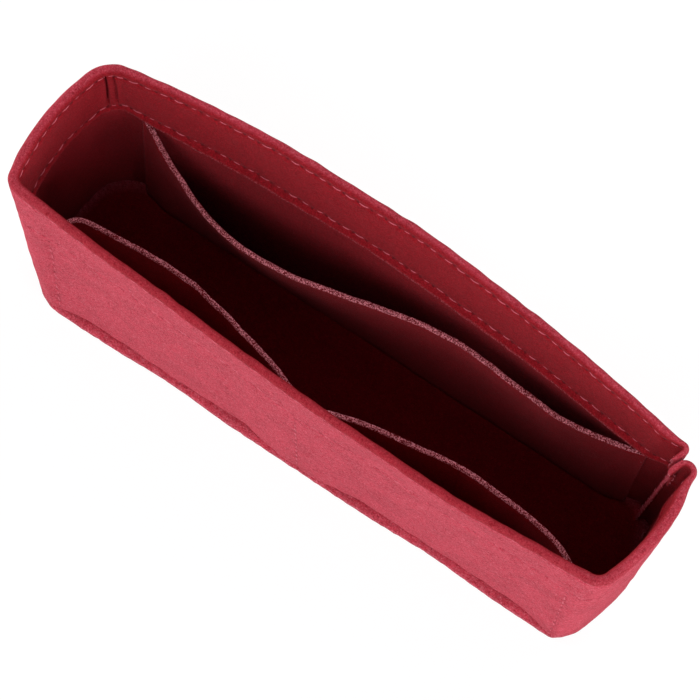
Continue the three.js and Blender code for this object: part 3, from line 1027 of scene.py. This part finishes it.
def felt_material(colours, stitch):
    """Pressed felt: mottled, with fibres lying every way, a grainy cut edge and needle holes, lighter outside
    the box as painted sheen and darker inside as painted shade.
    """
    material, nodes = new_material("felt")
    place = nodes.add("ShaderNodeTexCoord").out("Object")
    cloud, fleck, grain, speck = (nodes.noise(place, *kind) for kind in (CLOUD, FLECK, GRAIN, SPECK))
    fibres = 0
    for turn in FIBRE_TURNS:
        stretch = {"Vector": place, "Rotation": turn, "Scale": FIBRE_STRETCH}
        turned = nodes.add("ShaderNodeMapping", stretch)
        fibres = nodes.ramp(nodes.noise(turned, 1, 2, 0.8), *FIBRE_LEVELS) + fibres
    nap = nodes.mark("nap")
    pale = nodes.squiggles(place, PALE_SCALE)
    aside = nodes.add("ShaderNodeMapping", {"Vector": place, "Location": DARK_PLACE})
    dark = nodes.squiggles(aside, DARK_SCALE)
    # Each pattern is eased between two levels of its noise, and then weighed against the others.
    bloom = nodes.ramp(fleck, 0.46, 0.74) * 0.1 + nodes.ramp(grain, 0.52, 0.7) * 0.26
    bloom = bloom + fibres * 0.07 + pale * 0.12 + nodes.ramp(speck, 0.54, 0.68) * 0.22
    shade = nodes.ramp(1 - fleck, 0.50, 0.72) * 0.4 + nodes.ramp(1 - grain, 0.5, 0.7) * 0.5
    shade = shade + nodes.ramp(cloud, 0.35, 0.7) * 0.3 + dark * 0.2
    shade = shade + nodes.ramp(1 - speck, 0.54, 0.68) * 0.5
    # Painted light: a mark picks between the darker inside colour, painted shade, and the lighter outside
    # one, painted sheen.
    body = nodes.mix(nap, opaque(colours.felt), opaque(colours.nap))
    body = nodes.mix(shade * 0.7, body, opaque(colours.shade))
    # The pale fibres too take a lighter outside copy, painted sheen, and a darker inside copy, painted shade.
    body = nodes.mix(bloom, body, nodes.mix(nap, opaque(colours.gleam), opaque(colours.bloom)))
    edge = nodes.mix(nodes.ramp(grain, 0.42, 0.60), opaque(colours.shade), opaque(colours.edge))
    body = nodes.mix(nodes.mark("cut"), body, edge)
    off_hole = needle_holes(nodes, stitch)
    spot = nodes.ramp(off_hole, *HOLE_SPOT) * (0.6 - nap * 0.3)
    body = nodes.mix(spot, body, opaque(colours.hole))
    dimple = nodes.ramp(off_hole, *HOLE_DIMPLE)
    height = fleck * 0.6 + fibres * 0.25 + pale * 0.3 - dark * 0.3 + grain * 0.25 - dimple * 1.4
    nodes.finish(nodes.add("ShaderNodeBsdfPrincipled", {
        "Base Color": body, "Roughness": cloud * 0.12 + 0.86, "Normal": nodes.bump(height, 0.8, 0.4 * MM),
        "Specular IOR Level": 0.06, "Sheen Weight": 0.06, "Sheen Roughness": 0.5,
        "Sheen Tint": (1.0, 0.5, 0.56, 1),
    }))
    return material


def thread_material(colours):
    """Twisted sewing thread: fine plies and a slight gloss."""
    material, nodes = new_material("thread")
    place = nodes.add("ShaderNodeTexCoord").out("Object")
    ply, patch = (nodes.noise(place, *kind) for kind in (PLY, PATCH))
    dark = tuple(THREAD_DARK * part for part in colours.thread)
    light = nodes.ramp(ply, 0.35, 0.65) * 0.7 + patch * 0.3
    nodes.finish(nodes.add("ShaderNodeBsdfPrincipled", {
        "Base Color": nodes.mix(light, opaque(dark), opaque(colours.thread)),
        "Roughness": 0.5 + ply * 0.25, "Normal": nodes.bump(ply, 0.4, 0.08 * MM),
        "Specular IOR Level": 0.15, "Sheen Weight": 0.1, "Sheen Tint": (1.0, 0.6, 0.64, 1),
    }))
    return material


# Stitches

STITCH_SOCKETS = {
    "Span": "NodeSocketFloat",
    "Thread": "NodeSocketFloat",
    "Seed": "NodeSocketInt",
    "Material": "NodeSocketMaterial",
}
# A stitch in thicknesses of thread: height of its ends and its crest, and how far it may be pulled in.
STITCH_SINK = -0.9
STITCH_CREST = 1.5
STITCH_PULL = -0.8
# How finely a stitch and its round section are divided.
STITCH_STEPS = 7
THREAD_SIDES = 6
# Least and greatest turn of a stitch in radians, and least and greatest size.
STITCH_TURNS = ((-0.1, -0.06, -0.04), (0.1, 0.06, 0.2))
STITCH_SCALES = ((0.82, 0.85, 0.8), (1.08, 1.1, 1.05))


def stitch_tree():
    """Geometry Nodes that lay arched stitches of thread along a line, flat on the felt that it crosses."""
    tree = bpy.data.node_groups.new("stitch_row", "GeometryNodeTree")
    tree.interface.new_socket("Geometry", in_out="INPUT", socket_type="NodeSocketGeometry")
    names = {}
    for name, kind in STITCH_SOCKETS.items():
        names[name] = tree.interface.new_socket(name, in_out="INPUT", socket_type=kind).identifier
    tree.interface.new_socket("Geometry", in_out="OUTPUT", socket_type="NodeSocketGeometry")
    nodes = Nodes(tree)
    given = nodes.add("NodeGroupInput")
    seed, thread, half = given.out("Seed"), given.out("Thread"), given.out("Span") * 0.5

    def point(**parts):
        return nodes.add("ShaderNodeCombineXYZ", parts)

    def vary(low, high, seed):
        limits = {"Min": low, "Max": high, "Seed": seed}
        return nodes.add("FunctionNodeRandomValue", limits, data_type="FLOAT_VECTOR")

    row = nodes.add("GeometryNodeMeshToCurve", {"Mesh": given})
    bend = nodes.add("GeometryNodeCurveQuadraticBezier", {
        "Resolution": STITCH_STEPS,
        "Start": point(X=half * -1, Z=thread * STITCH_SINK),
        "Middle": point(Z=thread * STITCH_CREST),
        "End": point(X=half, Z=thread * STITCH_SINK),
    })
    circle = {"Resolution": THREAD_SIDES, "Radius": thread * 0.5}
    ring = nodes.add("GeometryNodeCurvePrimitiveCircle", circle)
    stitch = nodes.add("GeometryNodeCurveToMesh", {"Curve": bend, "Profile Curve": ring, "Fill Caps": True})
    outward = nodes.add(
        "GeometryNodeInputNamedAttribute", {"Name": "outward"}, output="Attribute", data_type="FLOAT_VECTOR"
    )
    axes = {"Primary Axis": nodes.add("GeometryNodeInputTangent"), "Secondary Axis": outward}
    facing = nodes.add("FunctionNodeAxesToRotation", axes, primary_axis="X", secondary_axis="Z")
    skew = nodes.add("FunctionNodeEulerToRotation", {"Euler": vary(*STITCH_TURNS, seed)})
    turns = {"Rotation": facing, "Rotate By": skew}
    turned = nodes.add("FunctionNodeRotateRotation", turns, rotation_space="LOCAL")
    size = vary(*STITCH_SCALES, seed + 1)
    laid = nodes.add("GeometryNodeInstanceOnPoints", {
        "Points": row, "Instance": stitch, "Rotation": turned, "Scale": size,
    })
    sunk = vary(point(Z=thread * STITCH_PULL), (0, 0, 0), seed + 2)
    pulled = nodes.add("GeometryNodeTranslateInstances", {"Instances": laid, "Translation": sunk})
    real = nodes.add("GeometryNodeRealizeInstances", {"Geometry": pulled})
    soft = nodes.add("GeometryNodeSetShadeSmooth", {"Geometry": real})
    done = nodes.add("GeometryNodeSetMaterial", {"Geometry": soft, "Material": given.out("Material")})
    nodes.add("NodeGroupOutput", {"Geometry": done})
    return tree, names


def stitch_row(name, spots, outward, stitch, tree, names, material):
    """A stitch at each spot along a seam, as a plain mesh. Outward is the way the felt faces at each spot."""
    mesh = bpy.data.meshes.new(name)
    mesh.from_pydata(spots.tolist(), [(k, k + 1) for k in range(len(spots) - 1)], [])
    mesh.attributes.new("outward", "FLOAT_VECTOR", "POINT").data.foreach_set("vector", outward.ravel())
    row = add_object(name, mesh)
    modifier = row.modifiers.new("stitches", "NODES")
    modifier.node_group = tree
    seed = stitch.seed + len(name)
    settings = {"Span": stitch.span, "Thread": stitch.thread, "Seed": seed, "Material": material}
    for key, value in settings.items():
        modifier[names[key]] = value
    made = bpy.data.meshes.new_from_object(row.evaluated_get(bpy.context.evaluated_depsgraph_get()))
    row.modifiers.clear()
    row.data = made
    return row


# Operators

def keep_piece(piece, slot, *nodes):
    """Sets a piece on the box, in the place of the solids that it stands for."""
    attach(piece, "box")
    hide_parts(*nodes)
    return piece


class ORGANIZER_OT_walls(bpy.types.Operator):
    """Sews the wall sheet: four soft walls with a folded hem, closed at the back right corner"""

    bl_idname = "organizer.walls"
    bl_label = "Walls"

    def execute(self, context):
        wall = Wall(context.scene)
        section = wall.section()
        rings = [wall.surface(face, inset, z) for face, inset, z, _ in section]
        thick = wall.felt.thickness
        flat = [(2 * thick if face == "hem" else inset, z) for face, inset, z, _ in section]
        felt = felt_material(context.scene.organizer_colours, wall.stitch)
        piece = felt_piece("felt_wall", rings, flat, wall.marks(section), wall.shape, felt)
        keep_piece(piece, "felt", "wall_sheet")
        strip = travel(wall.ring(0, wall.shape.height / 2))[-1]
        return {"FINISHED"}


def base_outline(shape, half, radii):
    """The base's edge in plan, with its waves, bows and slant, from its front left corner."""
    ways = ((-1, -1), (1, -1), (1, 1), (-1, 1))
    corners = corner_arcs(half, ways, radii, 180, BASE_CORNER_STEPS)
    stretches = []
    for k, steps in enumerate(BASE_SIDE_STEPS):
        following = corners[(k + 1) % len(corners)]
        stretches += [corners[k], between(corners[k][-1], following[0], steps)]
    line = np.concatenate(stretches)
    waves = BASE_WAVE * hump(np.abs(line[:, 0]) - BASE_WAVE_PLACE, BASE_WAVE_WIDTH)
    line[:, 1] += np.where(line[:, 1] < 0, waves, 0)
    line[:, 0] += bow_ends(line, *(2 * half), shape.foot_bow, shape.foot_slant, shape.foot_draw)
    return line


def base_section(thick, half_width):
    """(inset, height) points round the base's edge, from inside its underside to inside its top."""
    inner = np.linspace(BASE_FIRST, half_width / MM - BASE_LAST, BASE_RINGS) * MM
    section = [(inset, 0) for inset in inner[::-1]]
    section += [(inset * MM, z * MM) for inset, z in BASE_EDGE]
    section += [(inset * MM, thick - z * MM) for inset, z in reversed(BASE_EDGE)]
    return section + [(inset, thick) for inset in inner]


class ORGANIZER_OT_base(bpy.types.Operator):
    """Lays the base sheet under the walls"""

    bl_idname = "organizer.base"
    bl_label = "Base"

    def execute(self, context):
        shape, felt = context.scene.organizer_shape, context.scene.organizer_felt
        half = np.array([shape.foot_length, shape.foot_width]) / 2
        radii = (shape.foot_left, shape.foot_right, felt.end_turn, shape.foot_left)
        line = base_outline(shape, half, radii)
        rings, cut, nap = [], [], []
        for inset, z in base_section(felt.thickness, half[1]):
            flat = line * (1 - inset / half)
            ring = np.column_stack([flat, np.full(len(line), z)])
            at_edge = 0 < z < felt.thickness
            if at_edge:
                ring[:, :2] += uneven(ring, BASE_LUMPS)[:, None] * np.sign(flat)
            rings.append(ring)
            cut.append(np.full(len(line), BASE_CUT * at_edge))
            # The base's edge strip takes the outside's painted sheen, the rest the inside's painted shade.
            nap.append(np.full(len(line), float(inset < BASE_SHEEN)))
        points = settle(np.concatenate(rings), shape)
        grid = np.arange(len(points)).reshape(len(rings), len(line))
        ahead = np.roll(grid, -1, axis=1)
        quads = np.stack([grid[:-1], ahead[:-1], ahead[1:], grid[1:]], axis=-1).reshape(-1, 4)
        lids = [grid[0][::-1].tolist(), grid[-1].tolist()]
        marks = {"cut": np.concatenate(cut), "nap": np.concatenate(nap)}
        piece = mesh_piece("felt_base", points, quads.tolist(), lids, marks, bpy.data.materials["felt"])
        keep_piece(piece, "felt", "base_sheet")
        return {"FINISHED"}


# The solid that stands for each mouth.
MOUTHS = {
    "front_left_mouth": "front_pocket_left_mouth",
    "front_right_mouth": "front_pocket_right_mouth",
    "back_mouth": "back_pocket_mouth",
}
# The parts of each pocket sheet, from left to right, with the mouth and the solid margin that each joins.
FRONT_PARTS = (
    ("front_pocket_left_side", "front_left_mouth", "front_pocket_left_margin"),
    ("front_pocket_left_inner", "front_left_mouth", "front_pocket_middle_margin"),
    ("front_pocket_right_inner", "front_right_mouth", "front_pocket_middle_margin"),
    ("front_pocket_right_side", "front_right_mouth", "front_pocket_right_margin"),
)
BACK_PARTS = (
    ("back_pocket_left", "back_mouth", "back_pocket_left_margin"),
    ("back_pocket_right", "back_mouth", "back_pocket_right_margin"),
)


class ORGANIZER_OT_pockets(bpy.types.Operator):
    """Hangs the front and back pocket sheets, each in parts that bend between the box and a mouth"""

    bl_idname = "organizer.pockets"
    bl_label = "Pockets"

    def execute(self, context):
        scene = context.scene
        pockets = scene.organizer_pockets
        left, _, right = seam_places(pockets)[FRONT]
        past, land = pockets.past_seam, pockets.land
        deep = pockets.front_seam - pockets.front_reach
        front = Pocket(scene, FRONT, front_gape, [left - past, -deep, 0, deep, right + past])
        held = (left + land, -land, land, right - land)
        self.hang(front, FRONT_PARTS, held, (-deep, -deep, deep, deep))
        seam = pockets.back_seam
        deep = pockets.back_reach - seam
        back = Pocket(scene, BACK, back_gape, [-seam - land, deep, seam + land])
        self.hang(back, BACK_PARTS, (land - seam, seam - land), (deep, deep))
        return {"FINISHED"}

    def hang(self, pocket, parts, held, free):
        """Makes each part of a sheet, bakes its place into its mesh and hides the solids that it stands for.
        Held and free are not used.
        """
        tall = pocket.pockets.top - pocket.foot
        for part, (name, mouth, margin) in enumerate(parts):
            piece, wide = pocket.piece(name, part, bpy.data.materials["felt"])
            ends = [(x + MIDDLE.x, MIDDLE.y, pocket.foot) for x in (held[part], free[part])]
            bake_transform(piece)
            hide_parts(margin, MOUTHS[mouth])


# How far a row's line lies off the felt: a plain row, and one that has sunk into the felt.
THREAD_LIFT = 0.1 * MM
SUNK = -0.1 * MM
# Height of the base's row above the base.
BASE_ROW = 0.6 * MM
# Distance on each side of a seam from which the pocket's direction is taken.
SEAM_SIDE = 0.5 * MM
# Height below the hem's edge in which the closing seam's stitches step out over the hem.
HEM_STEP = 1.5 * MM
SEAM_NAMES = {
    FRONT: ("front_pocket_left", "front_pocket_middle", "front_pocket_right"),
    BACK: ("back_pocket_left", "back_pocket_right"),
}


def along_line(places, phase, values):
    """Rows of values at the given places, where phase says how far along each row is."""
    return np.column_stack([np.interp(places, phase, column) for column in values.T])


class ORGANIZER_OT_stitches(bpy.types.Operator):
    """Sews every seam, one thread on each side of the felt"""

    bl_idname = "organizer.stitches"
    bl_label = "Stitches"

    def execute(self, context):
        scene = context.scene
        wall = Wall(scene)
        tree, names = stitch_tree()
        material = thread_material(scene.organizer_colours)
        for name, (spots, outward) in self.rows(scene, wall).items():
            ahead = settle(spots + outward * MM, wall.shape)
            spots = settle(spots, wall.shape)
            facing = (ahead - spots) / MM
            row = stitch_row(name + "_stitches", spots, facing, wall.stitch, tree, names, material)
            keep_piece(row, "thread", name)
        return {"FINISHED"}

    def rows(self, scene, wall):
        """Each thread's stitches on the felt, and the way that the felt faces there."""
        rows = {}
        stitch, felt, pockets = wall.stitch, wall.felt, wall.pockets
        for word, z in (("upper", stitch.upper_row), ("lower", stitch.lower_row)):
            outer, hem = wall.surface("outer", 0, z), wall.surface("hem", 0, z)
            rows["hem_" + word + "_thread_outside"] = self.round_box(wall, outer, z, -1, 0)
            rows["hem_" + word + "_thread_inside"] = self.round_box(wall, hem, z, 1, THREAD_LIFT)
        z = felt.thickness + BASE_ROW
        outer, inner = wall.surface("outer", 0, z), wall.ring(felt.thickness, z)
        rows["base_seam_thread_outside"] = self.round_box(wall, outer, z, -1, SUNK)
        rows["base_seam_thread_inside"] = self.round_box(wall, inner, z, 1, 2 * SUNK)
        gapes = {FRONT: front_gape, BACK: back_gape}
        for side, seams in seam_places(pockets).items():
            sheet = Pocket(scene, side, gapes[side], [min(seams), max(seams)])
            for name, seam in zip(SEAM_NAMES[side], seams):
                rows[name + "_thread_outside"] = self.down_wall(wall, side, seam)
                rows[name + "_thread_inside"] = self.down_pocket(sheet, seam)
        self.add_closing_seam(rows, wall)
        return rows

    def round_box(self, wall, line, z, inwards, lift):
        """Stitches along a line round the box, between the needle holes."""
        phase = wall.phase()[wall.sewn]
        middles = np.arange(round(phase[-1])) + 0.5
        facing = np.column_stack([wall.inward(z), np.zeros(wall.count)]) * inwards
        line = line + facing * lift
        return along_line(middles, phase, line[wall.sewn]), along_line(middles, phase, facing[wall.sewn])

    def seam_heights(self, wall):
        """Heights of the stitches down a pocket, between the needle holes."""
        pitch = wall.stitch.pitch
        low = math.ceil((wall.felt.thickness + SEAM_FOOT) / pitch)
        return (np.arange(low, math.floor(wall.pockets.top / pitch)) + 0.5) * pitch

    def down_wall(self, wall, side, seam):
        """Stitches down the outside of a long wall."""
        spots = []
        for z in self.seam_heights(wall):
            line = wall.surface("outer", 0, z)[wall.side[side]]
            spots.append((seam, across_at(line, seam), z))
        return np.array(spots), np.tile([0.0, side, 0.0], (len(spots), 1))

    def down_pocket(self, sheet, seam):
        """Stitches down the inside of a pocket."""
        near = seam + np.array([-SEAM_SIDE, 0, SEAM_SIDE])
        heights = self.seam_heights(sheet.wall)
        spots = [sheet.line(near, sheet.thick / 2 + 2 * SUNK, z, 0)[1] for z in heights]
        return np.array(spots), np.tile([0.0, -sheet.side, 0.0], (len(spots), 1))

    def add_closing_seam(self, rows, wall):
        """Stitches down the two ends that are turned in."""
        pitch = wall.stitch.pitch
        count = math.floor((wall.fold_start - wall.felt.thickness) / pitch)
        heights = wall.felt.thickness + (np.arange(count) + 0.5) * pitch
        for name, station in (("back", FIN_STEPS // 2), ("end", wall.count - 1 - FIN_STEPS // 2)):
            spots, outward = [], []
            for z in heights:
                over = ease(wall.hem_edge - HEM_STEP, wall.hem_edge, z)
                inset = wall.felt.thickness * (1 + over) * (1 - wall.felt.squeeze) + SUNK
                spots.append(wall.ring(inset, z)[station])
                outward.append((*wall.inward(z)[station], 0))
            rows["closing_seam_thread_" + name] = (np.array(spots), np.array(outward))


# Soft lamps: turn round the box and height above the horizon in degrees, distance, size and power.
LAMPS = {
    "top_softbox": (10, 50, 1.2, 0.6, 3.8),
    "front_softbox": (4, 23, 1.0, 0.7, 3.25),
    "right_softbox": (75, 16, 1.0, 0.4, 5.5),
    "left_softbox": (-80, 13, 1.1, 0.4, 9.0),
    "back_softbox": (172, 36, 1.1, 0.8, 8.0),
}
# The floor: half its width, how far it lies under the base, its grey, and how strongly its white shines.
FLOOR_REACH = 6.0
FLOOR_DROP = 0.2 * MM
PAPER = (0.86, 0.86, 0.86)
WHITE = (1, 1, 1)
FLOOR_GLOW = 1.05
# The camera's sensor width in millimetres, and the distances between which it sees.
SENSOR = 36
CLIP = (10 * MM, 30)


class ORGANIZER_OT_stage(bpy.types.Operator):
    """Sets the white floor, the soft lamps and the camera"""

    bl_idname = "organizer.stage"
    bl_label = "Stage"

    def execute(self, context):
        scene = context.scene
        stage = scene.organizer_stage
        scene.view_settings.view_transform = "Standard"
        self.lay_floor(stage)
        self.light_room(scene, stage)
        aim = Vector(stage.aim)
        for name, (turn, height, distance, size, power) in LAMPS.items():
            lamp = bpy.data.lights.new(name, "AREA")
            lamp.shape, lamp.size, lamp.energy = "DISK", size, power
            back = direction(math.radians(turn), math.radians(height))
            holder = add_object(name, lamp)
            turned = back.to_track_quat("Z", "Y").to_matrix().to_4x4()
            holder.matrix_world = Matrix.Translation(aim + back * distance) @ turned
        self.place_camera(scene, stage, aim)
        return {"FINISHED"}

    def lay_floor(self, stage):
        """A floor that looks white, with a faint shadow, but lights the box like grey paper."""
        material, nodes = new_material("white_floor")
        share = nodes.seen().at_most(1.0) * (1 - stage.shadow)
        paper = nodes.add("ShaderNodeBsdfDiffuse", {"Color": opaque(PAPER)})
        white = nodes.add("ShaderNodeEmission", {"Color": opaque(WHITE), "Strength": FLOOR_GLOW})
        nodes.finish(nodes.add("ShaderNodeMixShader", {0: share, 1: paper, 2: white}))
        mesh = bpy.data.meshes.new("floor")
        ways = ((-1, -1), (1, -1), (1, 1), (-1, 1))
        corners = [(x * FLOOR_REACH, y * FLOOR_REACH, -FLOOR_DROP) for x, y in ways]
        mesh.from_pydata(corners, [], [(0, 1, 2, 3)])
        mesh.materials.append(material)
        add_object("floor", mesh)

    def light_room(self, scene, stage):
        """A room that looks white and lights the box a little from all round."""
        world = bpy.data.worlds.new("studio")
        world.use_nodes = True
        world.node_tree.nodes.clear()
        nodes = Nodes(world.node_tree)
        level = nodes.seen().at_least(stage.ambient).at_most(1.0)
        sky = nodes.add("ShaderNodeBackground", {"Color": opaque(WHITE), "Strength": level})
        nodes.add("ShaderNodeOutputWorld", {"Surface": sky})
        scene.world = world

    def place_camera(self, scene, stage, aim):
        """The camera, turned round the box, raised and leant as the photographed view is."""
        back = direction(stage.azimuth, stage.elevation)
        across = Vector((0, 0, 1)).cross(back).normalized()
        up = back.cross(across)
        right = across * math.cos(stage.roll) + up * math.sin(stage.roll)
        axes = Matrix((right, back.cross(right), back)).transposed().to_4x4()
        lens = bpy.data.cameras.new("camera")
        lens.lens, lens.sensor_width = stage.lens, SENSOR
        lens.clip_start, lens.clip_end = CLIP
        camera = add_object("camera", lens)
        camera.matrix_world = Matrix.Translation(aim + back * stage.distance) @ axes
        scene.camera = camera


def direction(azimuth, elevation):
    """From the box towards a place round it. Azimuth 0 is straight in front."""
    flat = math.cos(elevation)
    return Vector((math.sin(azimuth) * flat, -math.cos(azimuth) * flat, math.sin(elevation)))


class ORGANIZER_PT_panel(bpy.types.Panel):
    """Lists the steps and sizes of the organizer"""

    bl_idname = "ORGANIZER_PT_panel"
    bl_label = "Felt purse organizer"
    bl_space_type = "VIEW_3D"
    bl_region_type = "UI"
    bl_category = "Organizer"

    def draw(self, context):
        for operator in OPERATORS:
            self.layout.operator(operator.bl_idname)
        for name in GROUPS:
            group = getattr(context.scene, name)
            box = self.layout.box()
            for key in group.__annotations__:
                box.prop(group, key, text=key.replace("_", " ").capitalize())


GROUPS = {
    "organizer_shape": BoxShape,
    "organizer_felt": FeltSizes,
    "organizer_pockets": PocketShape,
    "organizer_stitch": StitchSizes,
    "organizer_colours": FeltColours,
    "organizer_stage": StageSettings,
}
OPERATORS = (
    ORGANIZER_OT_walls,
    ORGANIZER_OT_base,
    ORGANIZER_OT_pockets,
    ORGANIZER_OT_stitches,
    ORGANIZER_OT_stage,
)


def register():
    for kind in (*GROUPS.values(), *OPERATORS, ORGANIZER_PT_panel):
        bpy.utils.register_class(kind)
    for name, group in GROUPS.items():
        setattr(bpy.types.Scene, name, PointerProperty(type=group))


def unregister():
    for name in GROUPS:
        delattr(bpy.types.Scene, name)
    for kind in (ORGANIZER_PT_panel, *reversed(OPERATORS), *GROUPS.values()):
        bpy.utils.unregister_class(kind)


def main():
    register()
    bpy.ops.organizer.walls()
    bpy.ops.organizer.base()
    bpy.ops.organizer.pockets()
    bpy.ops.organizer.stitches()
    bpy.ops.organizer.stage()


if __name__ == "__main__":
    main()
